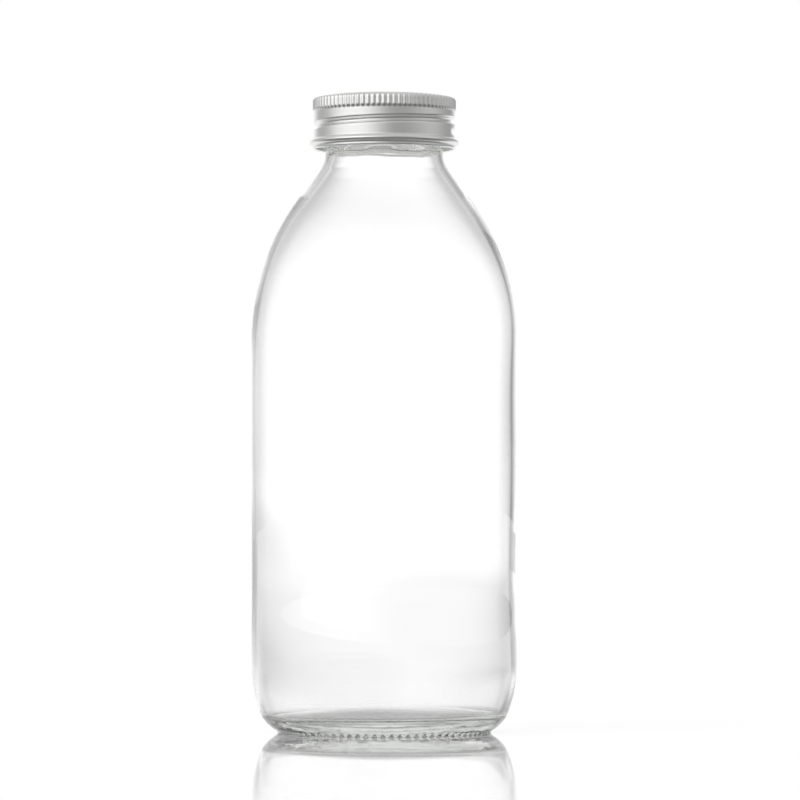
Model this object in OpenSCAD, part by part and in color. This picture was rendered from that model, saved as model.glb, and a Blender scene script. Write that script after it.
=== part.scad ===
// Milk bottle in clear glass with a knurled aluminium screw cap and its foam liner.
// Millimetres, +Z up. The origin is the centre of the base, on the surface it stands on.

/* [Bottle outline] */
// Height of the glass from the table to the sealing rim
bottle_h = 172.9; // [165:0.1:200]
// Diameter of the straight body
body_d = 73; // [66:0.5:80]
// Radius of the rounded shoulder
shoulder_r = 65.5; // [50:0.5:75]
// Slope of the shoulder's straight run, from vertical
shoulder_slope = 36; // [30:1:42]
// Radius where the shoulder turns up into the neck
neck_fillet_r = 8.8; // [6:0.1:12]
// Outer diameter of the neck
neck_d = 32.4; // [30:0.1:33.6]
// Straight neck between the shoulder and the transfer bead
neck_len = 1.5; // [1:0.1:8]

/* [Heel and base] */
// Height at which the heel curve meets the straight body
heel_h = 17; // [14:0.5:24]
// Radius of the heel curve
heel_r = 29; // [26:0.5:40]
// Height of the base plate's seam line
seam_h = 4.3; // [3:0.1:6]
// Outer diameter of the bearing ring
ring_d = 58.8; // [54:0.1:61]
// Width of the bearing ring
ring_w = 2.4; // [1.6:0.1:4]
// Radius of the curve between the bearing ring and the seam line
base_curve_r = 12; // [8:0.5:20]
// Height of the push-up at the middle of the base
push_up_h = 3.2; // [2:0.1:4.2]
// Number of stipple bars on the bearing ring
stipple_count = 80; // [48:1:96]
// Width of a stipple bar
stipple_w = 1; // [0.7:0.1:1.3]
// Height of a stipple bar
stipple_h = 0.5; // [0.2:0.05:0.8]

/* [Glass thickness] */
// Wall of the straight body
body_wall = 1.5; // [1.2:0.1:3]
// Glass at the middle of the base
floor_t = 4; // [3:0.1:6]
// Height of the floor's edge, where the crowned floor meets the heel
floor_edge_h = 4.7; // [3.5:0.1:6]
// Radius of the corner between the floor and the heel
corner_r = 1.8; // [1:0.1:4]
// Bore through the neck
bore_d = 26.7; // [24:0.1:27.6]
// Depth of the bore below the rim, where the blown inside begins
bore_depth = 13.6; // [13:0.1:14.2]
// Height of the step from the bore out to the blown inside
bore_step_h = 0.7; // [0.4:0.1:1.2]
// Wall of the neck just below that step
neck_wall = 2; // [1.4:0.1:2.6]

/* [Threaded finish] */
// Height of the finish, from the rim to the underside of the transfer bead
finish_h = 11.5; // [11.3:0.1:13]
// Diameter of the finish between its threads
root_d = 34.9; // [34.4:0.1:35.6]
// How far the glass thread stands out from the root
thread_h = 1.25; // [1:0.05:1.5]
// Rise of the thread in one turn
thread_pitch = 3.175; // [2.9:0.025:3.6]
// Turns of the glass thread
thread_turns = 1.35; // [1:0.05:1.4]
// Width of the glass thread at its crest
crest_w = 0.9; // [0.6:0.05:1]
// Width of the glass thread at its root
thread_foot_w = 1.9; // [1.6:0.1:2.1]
// Distance from the rim down to the middle of the thread's top end
rim_to_thread = 2.4; // [2:0.1:2.8]
// How far the transfer bead under the thread stands out from the root
bead_out = 0.55; // [0.1:0.05:0.7]
// Height of the transfer bead
bead_h = 2; // [1.4:0.1:2.3]
// Rounding of the rim and of the transfer bead
rim_r = 0.7; // [0.4:0.05:0.9]

/* [Cap] */
// Height of the cap
cap_h = 14.4; // [14.2:0.1:15]
// Thickness of the aluminium
cap_wall = 0.25; // [0.2:0.01:0.32]
// Outer rounding of the cap's top edge
cap_edge_r = 1.2; // [0.9:0.1:1.6]
// Gap between the glass thread and the inside of the cap
thread_gap = 0.5; // [0.4:0.05:0.7]
// Gap between the cap's rolled thread and the root of the finish
root_gap = 0.8; // [0.7:0.05:0.95]
// Turns of the cap's rolled thread
groove_turns = 1.25; // [1.1:0.05:1.4]
// Width of the rolled thread groove at the cap's outer face
groove_w = 2.1; // [1.8:0.05:2.2]
// Width of the bottom of the rolled thread groove
groove_foot_w = 0.9; // [0.6:0.05:1]
// Number of knurl ribs
knurl_count = 84; // [60:1:96]
// Depth of the knurl
knurl_depth = 0.3; // [0.2:0.05:0.35]
// Radius of a knurl flute
flute_r = 0.62; // [0.5:0.02:0.7]
// Height of the knurled band below the top
knurl_h = 3.8; // [3:0.1:4.4]
// How far the rolled bead stands out from the wall
roll_out = 1.1; // [1:0.05:1.6]
// Height of the rolled bead
roll_h = 1.7; // [1.3:0.05:1.75]
// Outer radius of the curled lip
lip_r = 0.35; // [0.32:0.01:0.45]
// Height of the curled lip and the neck above it, up to the rolled bead
lip_h = 1.05; // [0.9:0.05:1.3]
// Gap between the curled lip and the glass thread as the cap lifts
lip_gap = 0.15; // [0.1:0.01:0.2]

/* [Liner] */
// Thickness of the foam liner
liner_t = 1.55; // [1.2:0.05:2]
// Gap around the liner inside the cap's corner
liner_gap = 0.1; // [0.05:0.05:0.4]

/* [Hidden] */
$fn = 120;
eps = 0.01;
arc_steps = 20;

// Bottle, worked out from the sizes above
body_r = body_d / 2;
neck_r = neck_d / 2;
bore_r = bore_d / 2;
root_r = root_d / 2;
thread_r = root_r + thread_h;
bead_r = root_r + bead_out;
ring_r = ring_d / 2;
inner_r = body_r - body_wall;
neck_in_r = neck_r - neck_wall;
bore_low_z = bottle_h - bore_depth;
neck_top_z = bottle_h - finish_h - neck_len;
shoulder_z = neck_top_z - shoulder_rise(body_r, shoulder_r, neck_fillet_r, neck_r);
floor_z = push_up_h + floor_t;

// Cap and liner, which take their sizes from the finish
cap_in_r = thread_r + thread_gap;
cap_r = cap_in_r + cap_wall;
groove_tip_r = root_r + root_gap;
groove_depth = cap_in_r - groove_tip_r;
cap_top_z = bottle_h + liner_t + cap_wall;
cap_low_z = cap_top_z - cap_h;
knurl_low_z = cap_top_z - knurl_h;
roll_low_z = cap_low_z + lip_h;
roll_top_z = roll_low_z + roll_h;
liner_r = cap_in_r - (cap_edge_r - cap_wall) - liner_gap;

// Glass thread: the angle at its lower end, how far each end runs out, and its height at angle 0
thread_start_a = -40;
thread_run_a = 25;
thread_z = bottle_h - rim_to_thread - thread_pitch * (thread_turns + thread_start_a / 360);

// The cap's rolled thread runs midway between the turns of the glass one.
groove_start_a = -20;
groove_run_a = 30;
groove_z = thread_z - thread_pitch / 2;
groove_slope = (groove_w - groove_foot_w) / 2 / groove_depth;
ridge_half = groove_w / 2 - groove_slope * cap_wall + cap_wall * sqrt(1 + groove_slope * groove_slope);

// Height taken by a shoulder from the end of the straight body to the start of the neck
function shoulder_rise(wide, round_r, fillet_r, narrow) =
    (round_r + fillet_r) * sin(shoulder_slope) +
    (wide - narrow - (round_r + fillet_r) * (1 - cos(shoulder_slope))) / tan(shoulder_slope);

// Points along an arc about a centre, from one angle to another
function arc(centre, r, from_a, to_a) =
    [for (i = [0:arc_steps]) let (a = from_a + (to_a - from_a) * i / arc_steps)
        centre + r * [cos(a), sin(a)]];

// Centre of the arc of radius r that passes through p and q and lies to the left of that line
function arc_centre(p, q, r) =
    let (d = q - p, len = norm(d), h = sqrt(r * r - len * len / 4))
    (p + q) / 2 + h / len * [-d[1], d[0]];

// Angle of a point seen from a centre
function bearing(centre, p) = atan2(p[1] - centre[1], p[0] - centre[0]);

// A shoulder's points from the body up to the neck
function shoulder(wide, z, round_r, fillet_r, narrow) = concat(
    arc([wide - round_r, z], round_r, 0, shoulder_slope),
    arc([narrow + fillet_r, z + shoulder_rise(wide, round_r, fillet_r, narrow)],
        fillet_r, 180 + shoulder_slope, 180));

// Reversed list of points
function backwards(points) = [for (i = [len(points) - 1:-1:0]) points[i]];

// Outside of the glass, from the middle of the push-up to the top of the rim
function glass_outside() =
    let (
        in_edge = [ring_r - ring_w, stipple_h],
        out_edge = [ring_r, stipple_h],
        dome_h = push_up_h - stipple_h,
        dome_r = (in_edge[0] * in_edge[0] + dome_h * dome_h) / (2 * dome_h),
        heel_c = [body_r - heel_r, heel_h],
        heel_a = -asin((heel_h - seam_h) / heel_r),
        seam = heel_c + heel_r * [cos(heel_a), sin(heel_a)],
        curve_c = arc_centre(out_edge, seam, base_curve_r),
        bead_low_z = bottle_h - finish_h
    )
    concat(
        arc([0, push_up_h - dome_r], dome_r, 90, asin((dome_r - dome_h) / dome_r)),
        arc(curve_c, base_curve_r, bearing(curve_c, out_edge), bearing(curve_c, seam)),
        arc(heel_c, heel_r, heel_a, 0),
        shoulder(body_r, shoulder_z, shoulder_r, neck_fillet_r, neck_r),
        [[neck_r, bead_low_z]],
        arc([bead_r - rim_r, bead_low_z + rim_r], rim_r, -90, 0),
        arc([bead_r - rim_r, bead_low_z + bead_h - rim_r], rim_r, 0, 90),
        [[root_r, bead_low_z + bead_h]],
        arc([root_r - rim_r, bottle_h - rim_r], rim_r, 0, 90));

// Inside of the glass, from the rim down to the middle of the floor
function glass_inside() =
    let (
        heel_c = [body_r - heel_r, heel_h],
        heel_in_r = heel_r - body_wall,
        corner_z = floor_edge_h + corner_r,
        corner_x = heel_c[0] + sqrt(pow(heel_in_r - corner_r, 2) - pow(heel_h - corner_z, 2)),
        corner_a = bearing(heel_c, [corner_x, corner_z]),
        crown_h = floor_z - floor_edge_h,
        crown_r = (corner_x * corner_x + crown_h * crown_h) / (2 * crown_h),
        blown = shoulder(inner_r, shoulder_z, shoulder_r - body_wall, neck_fillet_r + neck_wall, neck_in_r)
    )
    concat(
        arc([bore_r + rim_r, bottle_h - rim_r], rim_r, 90, 180),
        [[bore_r, bore_low_z]],
        [for (p = backwards(blown)) if (p[1] < bore_low_z - bore_step_h) p],
        arc(heel_c, heel_in_r, 0, corner_a),
        arc([corner_x, corner_z], corner_r, corner_a, -90),
        arc([0, floor_z - crown_r], crown_r, asin((crown_r - crown_h) / crown_r), 90));

// A ridge or cutter that follows the thread: its crest lies at crest_r at full depth and at
// fade_r at both ends, and it runs from the angle a0 through the given turns.
module helix(z, a0, turns, run_a, base_r, base_half, fade_r, crest_r, crest_half) {
    steps = ceil(turns * 64);
    rings = [for (i = [0:steps])
        let (
            a = 360 * turns * i / steps,
            depth = min(1, a / run_a, (360 * turns - a) / run_a),
            tip_r = fade_r + (crest_r - fade_r) * depth,
            mid_z = z + thread_pitch * (a0 + a) / 360
        )
        [for (p = [[base_r, -base_half], [tip_r, -crest_half], [tip_r, crest_half], [base_r, base_half]])
            [p[0] * cos(a0 + a), p[0] * sin(a0 + a), mid_z + p[1]]]];
    outward = crest_r > base_r;
    skin = [for (i = [0:steps - 1], k = [0:3]) let (n = (k + 1) % 4)
        [4 * i + k, 4 * i + n, 4 * i + 4 + n, 4 * i + 4 + k]];
    ends = [[3, 2, 1, 0], [for (k = [0:3]) 4 * steps + k]];
    polyhedron(
        points = [for (ring = rings, p = ring) p],
        faces = [for (f = concat(skin, ends)) outward ? f : backwards(f)],
        convexity = 8);
}

module stipple_bars() {
    for (i = [0:stipple_count - 1])
        rotate(360 * i / stipple_count)
            translate([ring_r - ring_w, -stipple_w / 2, 0])
                cube([ring_w, stipple_w, 2 * stipple_h]);
}

module bottle() {
    color([0.80, 0.88, 0.84, 0.45])
        union() {
            rotate_extrude()
                polygon(concat(glass_outside(), glass_inside()));
            stipple_bars();
            helix(thread_z, thread_start_a, thread_turns, thread_run_a,
                root_r - 0.4, thread_foot_w / 2, root_r - 0.1, thread_r, crest_w / 2);
        }
}

// Half section of the cap's sheet, with the rolled bead and the curled lip below it
module cap_section() {
    roll_r = roll_h / 2;
    roll_x = cap_r + roll_out - roll_r;
    edge_in_r = cap_edge_r - cap_wall;
    knurl_r = cap_r + knurl_depth;
    // top panel, rounded edge and knurled band
    difference() {
        union() {
            translate([0, cap_top_z - cap_edge_r])
                square([knurl_r - cap_edge_r, cap_edge_r]);
            translate([knurl_r - cap_edge_r, cap_top_z - cap_edge_r])
                circle(cap_edge_r);
            translate([0, knurl_low_z])
                square([knurl_r, knurl_h - cap_edge_r]);
        }
        square([cap_in_r, cap_top_z - cap_edge_r]);
        translate([0, cap_low_z])
            square([cap_in_r - edge_in_r, cap_h - cap_wall]);
        translate([cap_in_r - edge_in_r, cap_top_z - cap_edge_r])
            circle(edge_in_r);
    }
    // wall
    translate([cap_in_r, roll_top_z - cap_wall])
        square([cap_wall, knurl_low_z - roll_top_z + 2 * cap_wall]);
    // rolled bead, open towards the inside
    difference() {
        union() {
            translate([cap_in_r, roll_low_z])
                square([roll_x - cap_in_r, roll_h]);
            translate([roll_x, roll_low_z + roll_r])
                circle(roll_r);
        }
        translate([cap_in_r - 1, roll_low_z + cap_wall])
            square([roll_x - cap_in_r + 1, roll_h - 2 * cap_wall]);
        translate([roll_x, roll_low_z + roll_r])
            circle(roll_r - cap_wall);
    }
    // curled lip, with its cut edge on the inside
    translate([cap_in_r, cap_low_z + lip_r])
        square([cap_wall, lip_h - lip_r + cap_wall]);
    translate([thread_r + lip_gap + lip_r, cap_low_z + lip_r])
        difference() {
            circle(lip_r);
            circle(lip_r - cap_wall);
            translate([-lip_r, 0])
                square([lip_r, lip_r]);
        }
}

module knurl_flutes() {
    for (i = [0:knurl_count - 1])
        rotate(360 * i / knurl_count)
            translate([cap_r + flute_r, 0, knurl_low_z - eps])
                cylinder(r = flute_r, h = knurl_h + 1, $fn = 24);
}

module cap_shell() {
    cut_out = 0.5;
    color("silver")
        difference() {
            union() {
                rotate_extrude()
                    cap_section();
                helix(groove_z, groove_start_a, groove_turns, groove_run_a,
                    cap_in_r + cap_wall / 2, ridge_half, cap_in_r + cap_wall / 4,
                    groove_tip_r, ridge_half - groove_slope * groove_depth);
            }
            helix(groove_z, groove_start_a, groove_turns, groove_run_a,
                cap_r + cut_out, groove_w / 2 + groove_slope * cut_out, cap_r + 0.1,
                cap_r - groove_depth, groove_foot_w / 2);
            knurl_flutes();
        }
}

module cap_liner() {
    color([0.93, 0.93, 0.90])
        translate([0, 0, bottle_h])
            cylinder(r = liner_r, h = liner_t);
}

bottle();
cap_shell();
cap_liner();
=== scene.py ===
import math

import bpy
import numpy as np
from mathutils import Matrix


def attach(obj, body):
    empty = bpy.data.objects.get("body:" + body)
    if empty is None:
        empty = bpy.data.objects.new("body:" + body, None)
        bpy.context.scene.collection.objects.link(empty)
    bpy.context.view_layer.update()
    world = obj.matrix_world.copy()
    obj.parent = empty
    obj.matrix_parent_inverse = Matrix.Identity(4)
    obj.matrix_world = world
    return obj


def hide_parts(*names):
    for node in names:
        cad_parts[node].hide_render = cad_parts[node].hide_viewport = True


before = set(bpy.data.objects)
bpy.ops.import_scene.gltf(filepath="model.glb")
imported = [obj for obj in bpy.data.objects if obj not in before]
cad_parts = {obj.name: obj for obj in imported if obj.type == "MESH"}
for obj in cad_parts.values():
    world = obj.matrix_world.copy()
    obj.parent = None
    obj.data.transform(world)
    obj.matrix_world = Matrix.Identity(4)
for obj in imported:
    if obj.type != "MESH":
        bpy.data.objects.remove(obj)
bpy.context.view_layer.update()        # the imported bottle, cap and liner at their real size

fullTurn = 2 * math.pi
mergeGap = 2e-6          # metres, closes the seam and the poles of a turned shape
touchGap = 0.02          # mm, near enough to a surface to be on it


# small helpers
def mm(value):
    return value / 1000


def hexToLinear(code):
    channels = [int(code[i:i + 2], 16) / 255 for i in (1, 3, 5)]
    linear = [c / 12.92 if c <= 0.04045 else ((c + 0.055) / 1.055) ** 2.4 for c in channels]
    return (*linear, 1)


def grey(share):
    return (share, share, share, 1)


def addNode(tree, kind, settings=None, values=None, links=None):
    node = tree.nodes.new(kind)
    for name, value in (settings or {}).items():
        setattr(node, name, value)
    for name, value in (values or {}).items():
        node.inputs[name].default_value = value
    for name, source in (links or {}).items():
        tree.links.new(source, node.inputs[name])
    return node


def newMaterial(name):
    material = bpy.data.materials.new(name)
    material.use_nodes = True
    material.node_tree.nodes.clear()
    return material, material.node_tree


def linePoints(start, end, steps):
    # the start itself is left out
    return [(start[0] + (end[0] - start[0]) * i / steps, start[1] + (end[1] - start[1]) * i / steps)
            for i in range(1, steps + 1)]


def arcPoints(centre, radius, fromAngle, toAngle, steps):
    points = []
    for i in range(steps + 1):
        a = math.radians(fromAngle + (toAngle - fromAngle) * i / steps)
        points.append((centre[0] + radius * math.cos(a), centre[1] + radius * math.sin(a)))
    return points


def arcThrough(start, end, radius, steps):
    # arc of a given radius from start to end, bulging away from the axis
    dx, dz = end[0] - start[0], end[1] - start[1]
    length = math.hypot(dx, dz)
    rise = math.sqrt(radius ** 2 - length ** 2 / 4) / length
    centre = ((start[0] + end[0]) / 2 - dz * rise, (start[1] + end[1]) / 2 + dx * rise)
    angles = [math.degrees(math.atan2(p[1] - centre[1], p[0] - centre[0])) for p in (start, end)]
    return arcPoints(centre, radius, angles[0], angles[1], steps)


def domePoints(rise, reach, topZ, steps):
    # half of a shallow dome's section, from its top out to its edge
    radius = (reach ** 2 + rise ** 2) / (2 * rise)
    edgeAngle = math.degrees(math.asin((radius - rise) / radius))
    return arcPoints((0, topZ - radius), radius, 90, edgeAngle, steps)


def spinProfile(name, profile, steps):
    # one vertex is drawn out along the half section, and the section is turned about Z
    bpy.ops.object.select_all(action="DESELECT")
    bpy.ops.mesh.primitive_plane_add(size=mm(1), location=(0, 0, 0))
    piece = bpy.context.object
    piece.name = name
    bpy.ops.object.mode_set(mode="EDIT")
    bpy.ops.mesh.merge(type="CENTER")
    here = (0, 0)
    for i, point in enumerate(profile):
        move = (mm(point[0] - here[0]), 0, mm(point[1] - here[1]))
        if i == 0:
            bpy.ops.transform.translate(value=move)
        else:
            bpy.ops.mesh.extrude_region_move(TRANSFORM_OT_translate={"value": move})
        here = point
    bpy.ops.object.mode_set(mode="OBJECT")
    turn = piece.modifiers.new("turn", "SCREW")
    turn.axis = "Z"
    turn.angle = fullTurn
    turn.steps = turn.render_steps = steps
    turn.use_merge_vertices = True
    turn.merge_threshold = mergeGap
    bpy.ops.object.modifier_apply(modifier="turn")
    bpy.ops.object.mode_set(mode="EDIT")
    bpy.ops.mesh.select_all(action="SELECT")
    bpy.ops.mesh.remove_doubles(threshold=mergeGap)
    bpy.ops.mesh.normals_make_consistent(inside=False)
    bpy.ops.object.mode_set(mode="OBJECT")
    bpy.ops.object.shade_smooth()
    return piece


def readVertices(piece):
    places = np.zeros(len(piece.data.vertices) * 3)
    piece.data.vertices.foreach_get("co", places)
    places = places.reshape(-1, 3) * 1000        # in mm
    return np.hypot(places[:, 0], places[:, 1]), np.arctan2(places[:, 1], places[:, 0]), places[:, 2]


def writeVertices(piece, radius, angle, height):
    places = np.column_stack((radius * np.cos(angle), radius * np.sin(angle), height)) / 1000
    piece.data.vertices.foreach_set("co", places.ravel())
    piece.data.update()


def smoothStep(value, low, high):
    t = np.clip((value - low) / (high - low), 0, 1)
    return t * t * (3 - 2 * t)


def band(value, edges):
    # 1 between the middle two edges, fading out to the outer two
    return smoothStep(value, edges[0], edges[1]) * (1 - smoothStep(value, edges[2], edges[3]))


def sided(sizes, angle):
    # a size all round, and how much is added to it on the right and taken off on the left
    return sizes[0] + sizes[1] * np.cos(angle)


def ripples(waves, angle, height=0):
    # each wave: size in mm, lobes around, lean for each mm of height, start
    return sum(size * np.sin(lobes * angle + lean * height + start) for size, lobes, lean, start in waves)


# thread, shared by the glass finish and the cap's rolled groove
thread = {
    "pitch": 3.175,          # mm a turn, right-handed
    "rimToTop": 2.4,         # rim to the middle of the glass thread's upper end
    "glass": {"lowAngle": -40, "turns": 1.35, "runOut": 25},     # angles in degrees, 0 is to the right
    "cap": {"lowAngle": -20, "turns": 1.25, "runOut": 30},
}


def threadZero():
    # height at which the middle of the glass thread's helix crosses 0 degrees
    glass = thread["glass"]
    return bottleForm["height"] - thread["rimToTop"] - thread["pitch"] * (glass["turns"] + glass["lowAngle"] / 360)


def ridgeShape(angle, height, zeroHeight, path, footHalf, crestHalf):
    # how far a ridge on the helix stands out at each vertex, from 0 to 1
    out = np.zeros_like(angle)
    degrees = np.degrees(angle)
    for turn in (-1, 0, 1, 2):
        along = degrees + 360 * turn - path["lowAngle"]
        onThread = np.clip(np.minimum(along, 360 * path["turns"] - along) / path["runOut"], 0, 1)
        middle = zeroHeight + thread["pitch"] * (degrees + 360 * turn) / 360
        flank = 1 - smoothStep(np.abs(height - middle), crestHalf, footHalf)
        out = np.maximum(out, flank * np.sin(onThread * math.pi / 2))
    return out


# glass bottle
bottleForm = {       # mm and degrees
    "height": 172.9, "bodyRadius": 36.48, "shoulderRadius": 65.5, "shoulderSlope": 36,
    "neckFillet": 8.8, "neckRadius": 16.2, "neckLength": 1.5,
    "heelHeight": 17, "heelRadius": 29, "heelEase": 5, "seamHeight": 4.3,
    "ringRadius": 29.4, "ringWidth": 2.4, "ringEdge": 0.25, "baseCurve": 12, "pushUp": 3.2,
    "stippleCount": 80, "stippleHeight": 0.5, "stippleShare": 0.4,       # a bar's share of its spacing
    "bodyWall": 1.5, "neckWall": 2.2, "bodyWallAt": 126, "neckWallAt": 160,
    "floorThickness": 4, "floorEdge": 4.7, "heelCorner": 1.8,
    "boreRadius": 13.35, "boreDepth": 13.6, "ledgeHeight": 0.45, "ledgeReach": 1.4,
    "finishHeight": 11.5, "rootRadius": 17.45, "beadOut": 0.55, "beadHeight": 2, "rimRounding": 0.7,
    "threadHeight": 1.25, "threadFootHalf": 1.1, "threadCrestHalf": 0.25,
    # the blown body draws in a little, each pair all round and on the right
    "waistHeight": 42, "waistSpread": 13, "waistDepth": (0.22, 0.11),
    "sideDepth": (0.09, 0.07), "sideDepthEnds": (90, 118),
    # the inside stands out from its even wall: the glass is thinner half way up, and on the left
    "thinBand": (22, 90, 96, 156), "thinOut": (0.3, -0.2), "thickOut": (0.05, -0.1),
    "wallRipples": ((0.04, 3, 0.06, 0.7), (0.02, 5, -0.11, 2.1)),
    "ledgeRipples": ((0.18, 3, 0, 1.1), (0.12, 7, 0, 0.3), (0.06, 16, 0, 0)),
    "unevenBand": (8, 30, 140, 158), "floorTilt": 0.35,
    "stepsAround": 320,      # four to each stipple bar
}


def shoulderLine():
    # the outside from the top of the straight body up to the neck
    b = bottleForm
    slope, roundRadius, fillet = b["shoulderSlope"], b["shoulderRadius"], b["neckFillet"]
    angle = math.radians(slope)
    straight = b["bodyRadius"] - b["neckRadius"] - (roundRadius + fillet) * (1 - math.cos(angle))
    rise = (roundRadius + fillet) * math.sin(angle) + straight / math.tan(angle)
    topZ = b["height"] - b["finishHeight"] - b["neckLength"]
    lower = arcPoints((b["bodyRadius"] - roundRadius, topZ - rise), roundRadius, 0, slope, steps=17)
    upper = arcPoints((b["neckRadius"] + fillet, topZ), fillet, 180 + slope, 180, steps=12)
    return lower + linePoints(lower[-1], upper[0], steps=4)[:-1] + upper


def undersideLine():
    # the push-up and the foot of the bearing ring, outwards
    b = bottleForm
    ringIn = b["ringRadius"] - b["ringWidth"]
    footIn, footOut = (ringIn + b["ringEdge"], 0), (b["ringRadius"] - b["ringEdge"], 0)
    dome = domePoints(b["pushUp"] - b["stippleHeight"], ringIn, b["pushUp"], steps=10)
    return dome + [footIn] + linePoints(footIn, footOut, steps=4)


def outsideLine():
    # from the bearing ring up the heel, body, shoulder and finish, and over the rim
    b = bottleForm
    rounding = b["rimRounding"]
    beadLow = b["height"] - b["finishHeight"]
    beadHigh = beadLow + b["beadHeight"]
    beadCentre = b["rootRadius"] + b["beadOut"] - rounding
    rimLow = b["height"] - rounding
    heelCentre = (b["bodyRadius"] - b["heelRadius"], b["heelHeight"])
    heelAngle = -math.degrees(math.asin((b["heelHeight"] - b["seamHeight"]) / b["heelRadius"]))
    heel = arcPoints(heelCentre, b["heelRadius"], heelAngle, 0, steps=12)
    shoulder = shoulderLine()
    line = arcThrough((b["ringRadius"], b["stippleHeight"]), heel[0], b["baseCurve"], steps=8)
    line += heel[1:]
    line += linePoints(heel[-1], shoulder[0], steps=42)
    line += shoulder[1:]
    line += linePoints(line[-1], (b["neckRadius"], beadLow - 0.4), steps=3)
    line += arcPoints((beadCentre, beadLow + rounding), rounding, -90, 0, steps=4)
    line += arcPoints((beadCentre, beadHigh - rounding), rounding, 0, 90, steps=4)
    line += linePoints((b["rootRadius"], beadHigh), (b["rootRadius"], rimLow), steps=40)
    line += arcPoints((b["rootRadius"] - rounding, rimLow), rounding, 0, 90, steps=5)[1:]
    return line


def insideLine():
    # from the rim down the bore, shoulder, body and heel to the middle of the floor
    b = bottleForm
    rounding = b["rimRounding"]
    line = arcPoints((b["boreRadius"] + rounding, b["height"] - rounding), rounding, 90, 180, steps=5)
    # the bore ends in a short ledge, below which the blown glass runs beside the outside and thins
    boreLow = b["height"] - b["boreDepth"]
    ledgeLow = boreLow - b["ledgeHeight"]
    line += linePoints(line[-1], (b["boreRadius"], boreLow + 0.12), steps=8)
    line += [(b["boreRadius"] + 0.04, boreLow + 0.03), (b["neckRadius"] - b["neckWall"] + 0.02, ledgeLow + 0.03)]
    shoulder = shoulderLine()
    for i in range(len(shoulder) - 2, 0, -1):
        before, here, after = shoulder[i - 1:i + 2]
        along = (after[0] - before[0], after[1] - before[1])
        thickening = float(smoothStep(here[1], b["bodyWallAt"], b["neckWallAt"]))
        share = (b["bodyWall"] + (b["neckWall"] - b["bodyWall"]) * thickening) / math.hypot(*along)
        point = (here[0] - along[1] * share, here[1] + along[0] * share)
        if point[1] < ledgeLow - 0.15:
            line.append(point)
    innerRadius = b["bodyRadius"] - b["bodyWall"]
    line.append((innerRadius, shoulder[0][1]))
    # the inside of the heel runs beside the outside, down to a small corner at the floor
    heelCentre = (b["bodyRadius"] - b["heelRadius"], b["heelHeight"])
    innerHeel = b["heelRadius"] - b["bodyWall"]
    corner = b["heelCorner"]
    cornerZ = b["floorEdge"] + corner
    cornerX = heelCentre[0] + math.sqrt((innerHeel - corner) ** 2 - (heelCentre[1] - cornerZ) ** 2)
    meetAngle = math.degrees(math.atan2(cornerZ - heelCentre[1], cornerX - heelCentre[0]))
    line += linePoints(line[-1], (innerRadius, b["heelHeight"]), steps=42)
    line += arcPoints(heelCentre, innerHeel, 0, meetAngle, steps=8)[1:]
    line += arcPoints((cornerX, cornerZ), corner, meetAngle, -90, steps=6)[1:]
    floorTop = b["pushUp"] + b["floorThickness"]
    return line + domePoints(floorTop - b["floorEdge"], cornerX, floorTop, steps=10)[-2::-1]


def innerWaves(angle, height):
    # mm that the inside stands out from its even wall
    b = bottleForm
    thin = band(height, b["thinBand"])
    wave = thin * sided(b["thinOut"], angle) + (1 - thin) * sided(b["thickOut"], angle)
    wave += ripples(b["wallRipples"], angle, height)
    wave += 0.035 * np.sin(0.17 * height + 1.4 * np.sin(angle + 0.4)) * np.cos(angle - 0.3)
    return wave


def onInside(radius, height, outside):
    # true on the inner wall and the floor of the bottle
    outer = np.interp(height, [p[1] for p in outside], [p[0] for p in outside])
    return (outer - radius > 0.9) & (height > bottleForm["floorEdge"] - 0.5)


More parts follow.
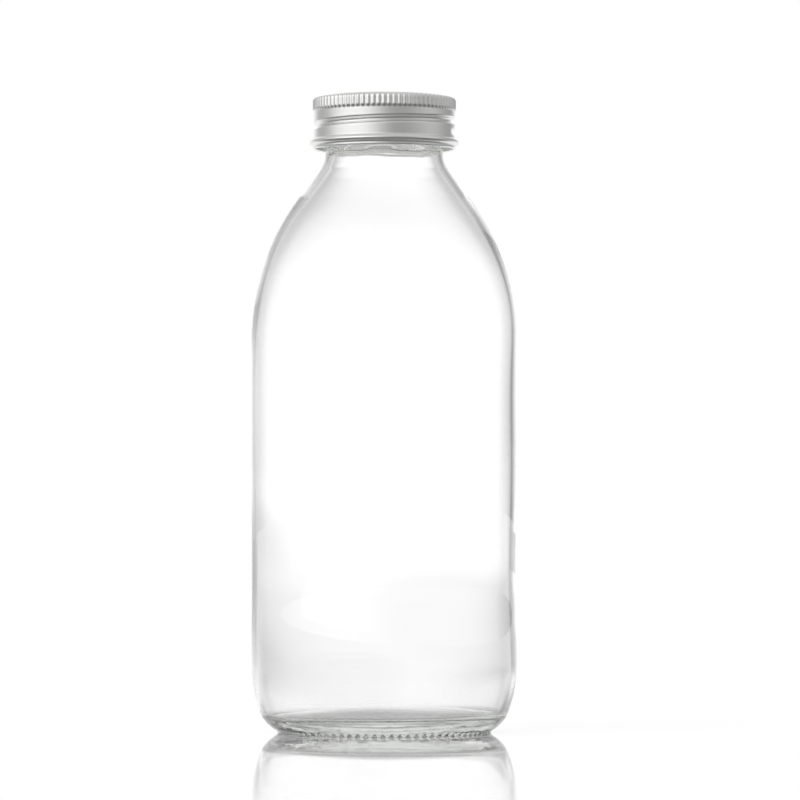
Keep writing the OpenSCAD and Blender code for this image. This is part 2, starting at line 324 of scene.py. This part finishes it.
def makeBottle():
    b = bottleForm
    outside = outsideLine()
    bottle = spinProfile("bottleGlass", undersideLine() + outside + insideLine(), b["stepsAround"])
    outside = sorted(outside, key=lambda point: (point[1], point[0]))
    radius, angle, height = readVertices(bottle)
    onRoot = np.abs(radius - b["rootRadius"]) < touchGap
    # the ledge at the end of the bore wanders up and down
    fromLedge = (height - (b["height"] - b["boreDepth"])) / b["ledgeReach"]
    nearLedge = (radius < b["boreRadius"] + 1.2) * np.exp(-fromLedge ** 2)
    height = height + nearLedge * ripples(b["ledgeRipples"], angle)
    # glass thread: a rounded ridge that climbs the finish
    ridge = ridgeShape(angle, height, threadZero(), thread["glass"], b["threadFootHalf"], b["threadCrestHalf"])
    radius = radius + onRoot * ridge * b["threadHeight"]
    # blown body: a slight waist above the heel, deeper on the right
    waist = np.exp(-((height - b["waistHeight"]) / b["waistSpread"]) ** 2) * sided(b["waistDepth"], angle)
    sides = (1 - smoothStep(height, *b["sideDepthEnds"])) * sided(b["sideDepth"], angle)
    radius = radius - smoothStep(height, b["heelHeight"], 36) * (waist + sides)
    # the body turns into the heel gradually
    below = b["heelHeight"] - height
    eased = (below + np.hypot(below, b["heelEase"])) / 2
    drop = [b["heelRadius"] - np.sqrt(b["heelRadius"] ** 2 - np.clip(t, 0, 16) ** 2) for t in (eased, below)]
    radius = radius - (radius > 20) * smoothStep(height, 3, 9) * (height < 60) * (drop[0] - drop[1])
    # stipple bars on the bearing ring: the glass between them is lifted clear of the table
    halfStep = 0.5 * b["stippleCount"] / b["stepsAround"]
    fromBar = np.abs((angle / fullTurn * b["stippleCount"] + halfStep) % 1 - 0.5)
    height = np.where((height < 0.01) & (fromBar >= b["stippleShare"] / 2), b["stippleHeight"], height)
    # uneven inside, fading out at the bore and the floor
    radius = radius + onInside(radius, height, outside) * band(height, b["unevenBand"]) * innerWaves(angle, height)
    # the floor of the inside lies a little higher on the right, and its edge is wavy
    onFloor = onInside(radius, height, outside) * (1 - smoothStep(height, 8, 20)) * smoothStep(radius, 4, 30)
    height = height + onFloor * b["floorTilt"] * (np.cos(angle - 0.4) + 0.25 * np.sin(angle * 2 + 0.5))
    writeVertices(bottle, radius, angle, height)
    return bottle


# aluminium cap
capForm = {          # mm
    "height": 14.4, "wall": 0.25, "edgeRadius": 1.2, "radius": 19.45,
    "grooveDepth": 0.95, "grooveHalf": 1.05, "grooveFootHalf": 0.3,
    "grooveInsideExtra": 0.16,       # the rolled thread is wider inside, where the sheet turns round it
    "knurlCount": 84, "knurlOut": 0.3, "knurlHeight": 3.8,
    "beadOut": 1.1, "beadHeight": 1.7, "lipRadius": 0.35, "lipHeight": 1.05,
    "stepsAround": 504,      # six to each knurl rib
}


def capTop():
    return bottleForm["height"] + linerForm["thickness"] + capForm["wall"]


def capProfile():
    c = capForm
    top = capTop()
    low = top - c["height"]
    inRadius = c["radius"] - c["wall"]
    edgeLow = top - c["edgeRadius"]
    edgeIn = c["edgeRadius"] - c["wall"]
    beadLow = low + c["lipHeight"]
    beadTop = beadLow + c["beadHeight"]
    beadRound = c["beadHeight"] / 2
    beadCentre = (c["radius"] + c["beadOut"] - beadRound, beadLow + beadRound)
    lipCentre = (inRadius, low + c["lipRadius"])
    outside = [(0, top)] + linePoints((0, top), (c["radius"] - c["edgeRadius"], top), steps=6)
    outside += arcPoints((c["radius"] - c["edgeRadius"], edgeLow), c["edgeRadius"], 90, 0, steps=8)[1:]
    outside += linePoints(outside[-1], (c["radius"], top - c["knurlHeight"]), steps=9)
    outside += linePoints(outside[-1], (c["radius"], beadTop + 0.3), steps=34)
    outside += arcPoints((c["radius"] + 0.3, beadTop + 0.3), 0.3, 180, 270, steps=4)[1:]
    outside += arcPoints(beadCentre, beadRound, 90, -90, steps=14)
    outside += arcPoints((c["radius"] + 0.25, beadLow - 0.1), 0.1, 90, 180, steps=3)
    outside += arcPoints(lipCentre, c["lipRadius"], 40, -200, steps=16)
    inside = arcPoints(lipCentre, c["lipRadius"] - c["wall"] * 0.7, -200, 20, steps=8)
    inside += [(inRadius, beadLow + 0.1)]
    inside += arcPoints(beadCentre, beadRound - c["wall"], -90, 90, steps=10)
    inside += [(inRadius, beadTop - 0.12)]
    inside += linePoints(inside[-1], (inRadius, edgeLow), steps=40)
    inside += arcPoints((inRadius - edgeIn, edgeLow), edgeIn, 0, 90, steps=6)[1:]
    inside += linePoints(inside[-1], (0, top - c["wall"]), steps=6)
    return outside + inside


def makeCap():
    c = capForm
    cap = spinProfile("capShell", capProfile(), c["stepsAround"])
    radius, angle, height = readVertices(cap)
    top = capTop()
    knurlLow = top - c["knurlHeight"]
    # knurl: rounded ribs that stand out of the wall and fade into the top edge
    onKnurl = band(height, (knurlLow - 0.15, knurlLow + 0.45, top - 0.55, top - 0.1))
    onOutside = radius > c["radius"] - c["edgeRadius"] + 0.05
    rib = (0.5 + 0.5 * np.cos(c["knurlCount"] * angle)) ** 0.8
    rib = rib * smoothStep(radius, c["radius"] - 1, c["radius"] - 0.3)
    radius = radius + onOutside * onKnurl * c["knurlOut"] * rib
    # rolled thread, half a pitch below the glass one: pressed in from outside and standing proud inside
    zeroHeight = threadZero() - thread["pitch"] / 2
    fromFace = np.minimum(np.abs(radius - c["radius"]), np.abs(radius - c["radius"] + c["wall"]))
    isInner = radius < c["radius"] - c["wall"] / 2
    groove, grooveInside = [
        ridgeShape(angle, height, zeroHeight, thread["cap"], c["grooveHalf"] + extra, c["grooveFootHalf"] + extra)
        for extra in (0, c["grooveInsideExtra"])]
    radius = radius - (fromFace < touchGap) * np.where(isInner, grooveInside, groove) * c["grooveDepth"]
    writeVertices(cap, radius, angle, height)
    return cap


# foam liner
linerForm = {"radius": 18.15, "thickness": 1.55, "edge": 0.2, "imprint": 0.12}       # mm


def makeLiner():
    f = linerForm
    low = bottleForm["height"]
    high = low + f["thickness"]
    # the glass rim has pressed a shallow ring into the foam
    rimIn, rimOut = bottleForm["boreRadius"] + 0.4, bottleForm["rootRadius"] - 0.4
    profile = [(0, low)] + linePoints((0, low), (rimIn - 0.3, low), steps=8)
    profile += [(rimIn, low + f["imprint"] / 2), (rimIn + 0.3, low + f["imprint"])]
    profile += linePoints(profile[-1], (rimOut - 0.3, low + f["imprint"]), steps=4)
    profile += [(rimOut, low + f["imprint"] / 2), (rimOut + 0.2, low)]
    profile += arcPoints((f["radius"] - f["edge"], low + f["edge"]), f["edge"], -90, 0, steps=4)
    profile += arcPoints((f["radius"] - f["edge"], high - f["edge"]), f["edge"], 0, 90, steps=4)
    profile += linePoints(profile[-1], (0, high), steps=8)
    return spinProfile("capLiner", profile, steps=160)


# materials of the three pieces
glassLook = {
    "ior": 1.52, "tint": "#dbe4d8", "tintDensity": 6.0,
    "skinScale": (330, 330, 1500),       # grain about 3 mm along the surface and 0.7 mm high
    "skinDepth": 0.07,                   # mm
    "skinFrom": (0.6, 1.1), "skinTo": (3.9, 4.25),       # mm above the table, where it fades in and out
}


def clearGlass():
    # soda-lime container glass, blown in a mould: colourless face on, faint green through its length
    g = glassLook
    material, tree = newMaterial("sodaLimeGlass")
    coords = addNode(tree, "ShaderNodeTexCoord")
    split = addNode(tree, "ShaderNodeSeparateXYZ", links={"Vector": coords.outputs["Object"]})
    # the base mould leaves a fine uneven skin below its seam
    stretch = addNode(tree, "ShaderNodeMapping", values={"Scale": g["skinScale"]}, links={
        "Vector": coords.outputs["Object"]})
    grain = addNode(tree, "ShaderNodeTexNoise", values={"Scale": 1.0, "Detail": 2.0}, links={
        "Vector": stretch.outputs["Vector"]})
    belowSeam = addNode(tree, "ShaderNodeMapRange", values={
        "From Min": mm(g["skinTo"][0]), "From Max": mm(g["skinTo"][1]), "To Min": 1.0, "To Max": 0.0}, links={
        "Value": split.outputs["Z"]})
    aboveFeet = addNode(tree, "ShaderNodeMapRange", values={
        "From Min": mm(g["skinFrom"][0]), "From Max": mm(g["skinFrom"][1])}, links={
        "Value": split.outputs["Z"]})
    skinShare = addNode(tree, "ShaderNodeMath", {"operation": "MULTIPLY"}, links={
        0: belowSeam.outputs["Result"], 1: aboveFeet.outputs["Result"]})
    skin = addNode(tree, "ShaderNodeBump", values={"Distance": mm(g["skinDepth"])}, links={
        "Height": grain.outputs["Fac"], "Strength": skinShare.outputs["Value"]})
    shader = addNode(tree, "ShaderNodeBsdfPrincipled", values={
        "Base Color": grey(1), "Roughness": 0.0, "IOR": g["ior"], "Transmission Weight": 1.0}, links={
        "Normal": skin.outputs["Normal"]})
    absorb = addNode(tree, "ShaderNodeVolumeAbsorption", values={
        "Color": hexToLinear(g["tint"]), "Density": g["tintDensity"]})
    addNode(tree, "ShaderNodeOutputMaterial", links={
        "Surface": shader.outputs["BSDF"], "Volume": absorb.outputs["Volume"]})
    return material


aluminiumLook = {
    "tone": "#f5f5f4", "roughness": (0.26, 0.38),
    "streakScale": (60, 60, 6000),       # streaks about 17 mm long and 0.17 mm high
    "streakDepth": 0.03, "streakStrength": 0.25,         # mm, and the share of it that shows
}


def satinAluminium():
    # rolled and lacquered aluminium sheet: soft satin gloss with fine streaks around the cap
    a = aluminiumLook
    material, tree = newMaterial("satinAluminium")
    coords = addNode(tree, "ShaderNodeTexCoord")
    streaks = addNode(tree, "ShaderNodeMapping", values={"Scale": a["streakScale"]}, links={
        "Vector": coords.outputs["Object"]})
    noise = addNode(tree, "ShaderNodeTexNoise", values={"Scale": 1.0, "Detail": 3.0}, links={
        "Vector": streaks.outputs["Vector"]})
    bump = addNode(tree, "ShaderNodeBump", values={
        "Strength": a["streakStrength"], "Distance": mm(a["streakDepth"])}, links={
        "Height": noise.outputs["Fac"]})
    gloss = addNode(tree, "ShaderNodeMapRange", values={
        "To Min": a["roughness"][0], "To Max": a["roughness"][1]}, links={
        "Value": noise.outputs["Fac"]})
    shader = addNode(tree, "ShaderNodeBsdfPrincipled", values={
        "Base Color": hexToLinear(a["tone"]), "Metallic": 1.0}, links={
        "Roughness": gloss.outputs["Result"], "Normal": bump.outputs["Normal"]})
    addNode(tree, "ShaderNodeOutputMaterial", links={"Surface": shader.outputs["BSDF"]})
    return material


foamLook = {
    # painted shade: the hollows of the cells are coloured darker than their walls
    "hollowShadeTone": "#e9e9e4", "wallTone": "#f4f4f1", "roughness": 0.75,
    "cellScale": 2500,                   # cells 0.4 mm across
    "cellDepth": 0.08, "cellStrength": 0.4,              # mm, and the share of it that shows
}


def linerFoam():
    # expanded polyethylene foam: matte white with fine closed cells, with painted shade darkening their hollows
    f = foamLook
    material, tree = newMaterial("polyethyleneFoam")
    coords = addNode(tree, "ShaderNodeTexCoord")
    cells = addNode(tree, "ShaderNodeTexVoronoi", values={"Scale": f["cellScale"]}, links={
        "Vector": coords.outputs["Object"]})
    bump = addNode(tree, "ShaderNodeBump", values={
        "Strength": f["cellStrength"], "Distance": mm(f["cellDepth"])}, links={
        "Height": cells.outputs["Distance"]})
    # painted shade: the tone darkens towards the middle of each cell, where the bump is lowest
    tint = addNode(tree, "ShaderNodeMix", {"data_type": "RGBA"}, {
        6: hexToLinear(f["hollowShadeTone"]), 7: hexToLinear(f["wallTone"])}, {0: cells.outputs["Distance"]})
    shader = addNode(tree, "ShaderNodeBsdfPrincipled", values={"Roughness": f["roughness"]}, links={
        "Base Color": tint.outputs[2], "Normal": bump.outputs["Normal"]})
    addNode(tree, "ShaderNodeOutputMaterial", links={"Surface": shader.outputs["BSDF"]})
    return material


# studio
studio = {
    # what metal mirrors: share of the window's light at each heading, 0 towards the camera, right positive
    "windowLevel": 1.35, "ceilingLevel": 0.6, "ceilingFrom": 0.45, "ceilingTo": 0.85,
    "roomWalls": ((-180, 0.8), (-152, 0.8), (-140, 0.34), (-127, 0.29), (-115, 0.32), (-103, 0.42), (-93, 0.6),
                  (-84, 0.76), (-74, 0.92), (-50, 1.0), (-27, 0.92), (-18, 0.76), (-5, 0.52), (7, 0.34),
                  (20, 0.28), (41, 0.32), (55, 0.38), (80, 0.48), (96, 0.42), (118, 0.26), (135, 0.2),
                  (148, 0.28), (158, 0.8), (180, 0.8)),
    "roomFloor": 0.16,       # the room's darker floor beyond the table, on the camera's side
    "ambient": 0.7,          # light of the room on matte surfaces
    # the white backdrop seen through glass: its level, and its shares of that further and further to the side
    "backdropLevel": 1.17,
    "backdropFall": ((0, 1), (0.01, 0.97), (0.022, 0.88), (0.034, 0.78), (0.049, 0.64), (0.07, 0.55),
                     (0.1, 0.46), (0.15, 0.46), (0.22, 0.66), (0.29, 0.87), (1, 0.87)),
    "floorFall": ((0, 0.86), (0.002, 0.82), (0.006, 0.74), (0.013, 0.63), (0.025, 0.54), (0.045, 0.46),
                  (0.1, 0.44), (0.15, 0.5), (0.22, 0.7), (0.29, 0.85)),
    "upwardFall": 0.6, "leftFall": 0.5,      # it falls upwards too, and more so up on the left
    "thickGlass": 0.62,      # share of light left after it ran along inside the glass
    "deepBounces": 6.5,      # light with more bounces than this has been up inside the cap
    # the white sheet under the bottle: its tone, and the shadow painted darker into its colour there, straight on
    # and through the thick base
    "sheetTone": 0.85, "shadeTone": 0.5, "baseShadeTone": 0.1,
    "shadeFrom": 27, "shadeTo": 31, "baseShadeExtra": 75,        # mm from the middle
    "floorFadeFrom": 0.1, "floorFadeTo": 0.5, "mirrorFadeFrom": 0.04, "mirrorFadeTo": 0.12,      # metres
    "farFrom": 2, "farTo": 1 / 0.09,     # metres, where it turns into the backdrop as glass shows it
    # softboxes: name, radiance, angle from the camera's side, distance, width, height
    "softboxes": (("keySoftbox", 1.25, -52, 0.55, 0.8, 0.7), ("fillSoftbox", 0.6, 80, 0.8, 0.5, 0.7)),
    "lens": 209.5, "cameraPlace": (0.00433, -1.2806, 0.0557), "cameraTilt": 1.594,
}


def setFall(ramp, stops):
    # grey stops of a ramp, each a place and a share of white
    elements = ramp.color_ramp.elements
    elements[1].position = stops[-1][0]
    elements[0].position = stops[0][0]
    for place, share in stops[1:-1]:
        elements.new(place)
    for element, (place, share) in zip(elements, stops):
        element.color = grey(share)


def turnedInside(tree, path):
    # 1 for light that was reflected on its way, such as inside a thick wall or the base
    return addNode(tree, "ShaderNodeMath", {"operation": "GREATER_THAN"}, {1: 0.5}, {
        0: path.outputs["Glossy Depth"]})


def dimInside(tree, path, level):
    # light that ran inside the glass without crossing the hollow comes out dimmer
    onePass = addNode(tree, "ShaderNodeMath", {"operation": "LESS_THAN"}, {1: 2.5}, {
        0: path.outputs["Transmission Depth"]})
    both = addNode(tree, "ShaderNodeMath", {"operation": "MULTIPLY"}, links={
        0: turnedInside(tree, path).outputs["Value"], 1: onePass.outputs["Value"]})
    share = addNode(tree, "ShaderNodeMapRange", values={"To Min": 1.0, "To Max": studio["thickGlass"]}, links={
        "Value": both.outputs["Value"]})
    return addNode(tree, "ShaderNodeMath", {"operation": "MULTIPLY"}, links={
        0: level, 1: share.outputs["Result"]})


def floorGloss():
    # white acrylic sheet: polished, so a low view mirrors what stands on it
    material, tree = newMaterial("whiteAcrylic")
    path = addNode(tree, "ShaderNodeLightPath")
    coords = addNode(tree, "ShaderNodeTexCoord")
    away = addNode(tree, "ShaderNodeVectorMath", {"operation": "LENGTH"}, links={0: coords.outputs["Object"]})
    isGlass = addNode(tree, "ShaderNodeMath", {"operation": "GREATER_THAN"}, {1: 0.5}, {
        0: path.outputs["Transmission Depth"]})
    # painted shadow: the sheet's colour is darker under the bottle, where little light reaches, and further round
    # it as the thick base shows it
    inBase = addNode(tree, "ShaderNodeMath", {"operation": "MULTIPLY"}, links={
        0: isGlass.outputs["Value"], 1: turnedInside(tree, path).outputs["Value"]})
    shadeEnd = addNode(tree, "ShaderNodeMath", {"operation": "MULTIPLY_ADD"}, {
        1: mm(studio["baseShadeExtra"]), 2: mm(studio["shadeTo"])}, {0: inBase.outputs["Value"]})
    shade = addNode(tree, "ShaderNodeMapRange", {"interpolation_type": "SMOOTHSTEP"}, {
        "From Min": mm(studio["shadeFrom"])}, {
        "Value": away.outputs["Value"], "From Max": shadeEnd.outputs["Value"]})
    shadeTone = addNode(tree, "ShaderNodeMix", {"data_type": "RGBA"}, {
        6: grey(studio["shadeTone"]), 7: grey(studio["baseShadeTone"])}, {0: inBase.outputs["Value"]})
    # the sheet's own tone away from the bottle, the painted shadow tone close to it
    tone = addNode(tree, "ShaderNodeMix", {"data_type": "RGBA"}, {7: grey(studio["sheetTone"])}, {
        0: shade.outputs["Result"], 6: shadeTone.outputs[2]})
    shader = addNode(tree, "ShaderNodeBsdfPrincipled", values={"Roughness": 0.03, "IOR": 1.5}, links={
        "Base Color": tone.outputs[2]})
    # through glass it greys off to the sides as the backdrop does, and far away it is the backdrop
    heading = addNode(tree, "ShaderNodeVectorMath", {"operation": "NORMALIZE"}, links={
        0: coords.outputs["Object"]})
    split = addNode(tree, "ShaderNodeSeparateXYZ", links={"Vector": heading.outputs["Vector"]})
    sideways = addNode(tree, "ShaderNodeMath", {"operation": "SUBTRACT"}, {0: 1.0}, {1: split.outputs["Y"]})
    nearFall = addNode(tree, "ShaderNodeValToRGB", links={"Fac": sideways.outputs["Value"]})
    setFall(nearFall, studio["floorFall"])
    farFall = addNode(tree, "ShaderNodeValToRGB", links={"Fac": sideways.outputs["Value"]})
    setFall(farFall, studio["backdropFall"])
    nearness = addNode(tree, "ShaderNodeMath", {"operation": "DIVIDE"}, {0: 1.0}, {1: away.outputs["Value"]})
    farAway = addNode(tree, "ShaderNodeMapRange", {"interpolation_type": "SMOOTHSTEP"}, {
        "From Min": 1 / studio["farTo"], "From Max": 1 / studio["farFrom"], "To Min": 1.0, "To Max": 0.0}, {
        "Value": nearness.outputs["Value"]})
    bothFalls = addNode(tree, "ShaderNodeMix", {"data_type": "RGBA"}, links={
        0: farAway.outputs["Result"], 6: nearFall.outputs["Color"], 7: farFall.outputs["Color"]})
    plain = addNode(tree, "ShaderNodeMath", {"operation": "MULTIPLY"}, {1: studio["backdropLevel"]}, {
        0: bothFalls.outputs[2]})
    glass = dimInside(tree, path, plain.outputs["Value"])
    # light that comes down from the cap meets a white floor all round
    deep = addNode(tree, "ShaderNodeMath", {"operation": "GREATER_THAN"}, {1: studio["deepBounces"]}, {
        0: path.outputs["Ray Depth"]})
    glassOrCap = addNode(tree, "ShaderNodeMix", values={"B": studio["backdropLevel"]}, links={
        "Factor": deep.outputs["Value"], "A": glass.outputs["Value"]})
    level = addNode(tree, "ShaderNodeMix", values={"A": 1.0}, links={
        "Factor": isGlass.outputs["Value"], "B": glassOrCap.outputs["Result"]})
    seen = addNode(tree, "ShaderNodeMath", {"operation": "MAXIMUM"}, links={
        0: path.outputs["Is Camera Ray"], 1: isGlass.outputs["Value"]})
    # metal mirrors the room's darker floor beyond the table
    frontFloor = addNode(tree, "ShaderNodeMapRange", {"interpolation_type": "SMOOTHSTEP"}, {
        "From Min": 0.3, "From Max": 0.8, "To Min": studio["roomFloor"], "To Max": 1.0}, {
        "Value": split.outputs["Y"]})
    mirrored = addNode(tree, "ShaderNodeMix", links={
        "Factor": seen.outputs["Value"], "A": frontFloor.outputs["Result"], "B": level.outputs["Result"]})
    white = addNode(tree, "ShaderNodeEmission", values={"Color": grey(1)}, links={
        "Strength": mirrored.outputs["Result"]})
    # away from the bottle the sheet runs into that white, with no horizon
    fade = addNode(tree, "ShaderNodeMapRange", {"interpolation_type": "SMOOTHSTEP"}, {
        "From Min": studio["floorFadeFrom"], "From Max": studio["floorFadeTo"]}, {"Value": away.outputs["Value"]})
    mirrorFade = addNode(tree, "ShaderNodeMapRange", {"interpolation_type": "SMOOTHSTEP"}, {
        "From Min": studio["mirrorFadeFrom"], "From Max": studio["mirrorFadeTo"]}, {"Value": away.outputs["Value"]})
    share = addNode(tree, "ShaderNodeMix", links={
        "Factor": seen.outputs["Value"], "A": mirrorFade.outputs["Result"], "B": fade.outputs["Result"]})
    surface = addNode(tree, "ShaderNodeMixShader", links={
        0: share.outputs["Result"], 1: shader.outputs["BSDF"], 2: white.outputs["Emission"]})
    # from below the sheet isn't there, so that the underside can be looked at
    side = addNode(tree, "ShaderNodeNewGeometry")
    below = addNode(tree, "ShaderNodeBsdfTransparent")
    oneSided = addNode(tree, "ShaderNodeMixShader", links={
        0: side.outputs["Backfacing"], 1: surface.outputs["Shader"], 2: below.outputs["BSDF"]})
    addNode(tree, "ShaderNodeOutputMaterial", links={"Surface": oneSided.outputs["Shader"]})
    return material


def makeFloor():
    bpy.ops.object.select_all(action="DESELECT")
    bpy.ops.mesh.primitive_circle_add(vertices=96, radius=12, fill_type="NGON", location=(0, 0, 0))
    floor = bpy.context.object
    floor.name = "studioFloor"
    floor.data.materials.append(floorGloss())


def makeWorld():
    world = bpy.data.worlds.new("whiteStudio")
    bpy.context.scene.world = world
    world.use_nodes = True
    tree = world.node_tree
    tree.nodes.clear()
    path = addNode(tree, "ShaderNodeLightPath")
    coords = addNode(tree, "ShaderNodeTexCoord")
    split = addNode(tree, "ShaderNodeSeparateXYZ", links={"Vector": coords.outputs["Generated"]})
    # the room that metal mirrors, all the way round: a broad window on the left, the backdrop behind the bottle
    towards = addNode(tree, "ShaderNodeMath", {"operation": "MULTIPLY"}, {1: -1.0}, {0: split.outputs["Y"]})
    heading = addNode(tree, "ShaderNodeMath", {"operation": "ARCTAN2"}, links={
        0: split.outputs["X"], 1: towards.outputs["Value"]})
    allRound = addNode(tree, "ShaderNodeMapRange", values={
        "From Min": -math.pi, "From Max": math.pi}, links={"Value": heading.outputs["Value"]})
    walls = addNode(tree, "ShaderNodeValToRGB", links={"Fac": allRound.outputs["Result"]})
    setFall(walls, [(angle / 360 + 0.5, share) for angle, share in studio["roomWalls"]])
    wallLevel = addNode(tree, "ShaderNodeMath", {"operation": "MULTIPLY"}, {1: studio["windowLevel"]}, {
        0: walls.outputs["Color"]})
    ceiling = addNode(tree, "ShaderNodeMapRange", {"interpolation_type": "SMOOTHSTEP"}, {
        "From Min": studio["ceilingFrom"], "From Max": studio["ceilingTo"]}, {"Value": split.outputs["Z"]})
    room = addNode(tree, "ShaderNodeMix", values={"B": studio["ceilingLevel"]}, links={
        "Factor": ceiling.outputs["Result"], "A": wallLevel.outputs["Value"]})
    # through glass the backdrop greys off to its sides and upwards, which draws the bottle's dark edges
    sideways = addNode(tree, "ShaderNodeMath", {"operation": "SUBTRACT"}, {0: 1.0}, {1: split.outputs["Y"]})
    upward = addNode(tree, "ShaderNodeMath", {"operation": "POWER"}, {1: 2.0}, {0: split.outputs["Z"]})
    spread = addNode(tree, "ShaderNodeMath", {"operation": "MULTIPLY_ADD"}, {1: studio["upwardFall"]}, {
        0: upward.outputs["Value"], 2: sideways.outputs["Value"]})
    leftwards = addNode(tree, "ShaderNodeMath", {"operation": "MULTIPLY"}, links={
        0: split.outputs["X"], 1: split.outputs["Z"]})
    leftOnly = addNode(tree, "ShaderNodeMath", {"operation": "MINIMUM"}, {1: 0.0}, {
        0: leftwards.outputs["Value"]})
    leaning = addNode(tree, "ShaderNodeMath", {"operation": "MULTIPLY_ADD"}, {1: -studio["leftFall"]}, {
        0: leftOnly.outputs["Value"], 2: spread.outputs["Value"]})
    fall = addNode(tree, "ShaderNodeValToRGB", links={"Fac": leaning.outputs["Value"]})
    setFall(fall, studio["backdropFall"])
    plain = addNode(tree, "ShaderNodeMath", {"operation": "MULTIPLY"}, {1: studio["backdropLevel"]}, {
        0: fall.outputs["Color"]})
    glass = dimInside(tree, path, plain.outputs["Value"])
    # light that was turned back towards the camera's side shows the room, and all other light the backdrop
    ahead = addNode(tree, "ShaderNodeMapRange", {"interpolation_type": "SMOOTHSTEP"}, {
        "From Min": -0.2, "From Max": 0.1}, {"Value": split.outputs["Y"]})
    straight = addNode(tree, "ShaderNodeMath", {"operation": "SUBTRACT"}, {0: 1.0}, {
        1: turnedInside(tree, path).outputs["Value"]})
    white = addNode(tree, "ShaderNodeMath", {"operation": "MAXIMUM"}, links={
        0: ahead.outputs["Result"], 1: straight.outputs["Value"]})
    through = addNode(tree, "ShaderNodeMix", links={
        "Factor": white.outputs["Value"], "A": room.outputs["Result"], "B": glass.outputs["Value"]})
    seen = addNode(tree, "ShaderNodeMix", links={
        "Factor": path.outputs["Is Transmission Ray"], "A": room.outputs["Result"],
        "B": through.outputs["Result"]})
    matte = addNode(tree, "ShaderNodeMath", {"operation": "GREATER_THAN"}, {1: 0.5}, {
        0: path.outputs["Diffuse Depth"]})
    lit = addNode(tree, "ShaderNodeMix", values={"B": studio["ambient"]}, links={
        "Factor": matte.outputs["Value"], "A": seen.outputs["Result"]})
    whole = addNode(tree, "ShaderNodeMix", values={"B": 1.0}, links={
        "Factor": path.outputs["Is Camera Ray"], "A": lit.outputs["Result"]})
    light = addNode(tree, "ShaderNodeBackground", values={"Color": grey(1)}, links={
        "Strength": whole.outputs["Result"]})
    addNode(tree, "ShaderNodeOutputWorld", links={"Surface": light.outputs["Background"]})


def makeSoftbox(name, radiance, angle, distance, width, height):
    # a standing softbox, its angle counted from the camera's side, positive to the right
    turn = math.radians(angle)
    place = (distance * math.sin(turn), -distance * math.cos(turn), height / 2)
    bpy.ops.object.light_add(type="AREA", location=place, rotation=(math.pi / 2, 0, turn))
    lamp = bpy.context.object
    lamp.name = name
    lamp.data.shape = "RECTANGLE"
    lamp.data.size = width
    lamp.data.size_y = height
    lamp.data.energy = radiance * math.pi * width * height
    lamp.visible_camera = False
    lamp.visible_transmission = False
    lamp.visible_glossy = False      # what metal mirrors is in the world


def makeCamera():
    tilt = math.radians(90 + studio["cameraTilt"])
    bpy.ops.object.camera_add(location=studio["cameraPlace"], rotation=(tilt, 0, 0))
    camera = bpy.context.object
    camera.data.lens = studio["lens"]
    camera.data.sensor_width = 36
    camera.data.clip_end = 50
    bpy.context.scene.camera = camera


makeCamera()
makeWorld()
for softbox in studio["softboxes"]:
    makeSoftbox(*softbox)
makeFloor()
print("studio ready")

bottleGlass = makeBottle()
bottleGlass.data.materials.append(clearGlass())
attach(bottleGlass, "bottle")
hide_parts("bottle")
print("bottle ready")

capShell = makeCap()
capShell.data.materials.append(satinAluminium())
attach(capShell, "cap")
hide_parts("cap_shell")
print("cap ready")

capLiner = makeLiner()
capLiner.data.materials.append(linerFoam())
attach(capLiner, "liner")
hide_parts("cap_liner")
print("liner ready")

bpy.context.scene.view_settings.view_transform = "Standard"
cycles = bpy.context.scene.cycles
cycles.max_bounces = 64              # light crosses many glass faces in the thick base and under the cap
cycles.transmission_bounces = 64
cycles.glossy_bounces = 32
cycles.blur_glossy = 0               # so that light still gets out of the cap through the neck
cycles.caustics_refractive = True
cycles.caustics_reflective = True
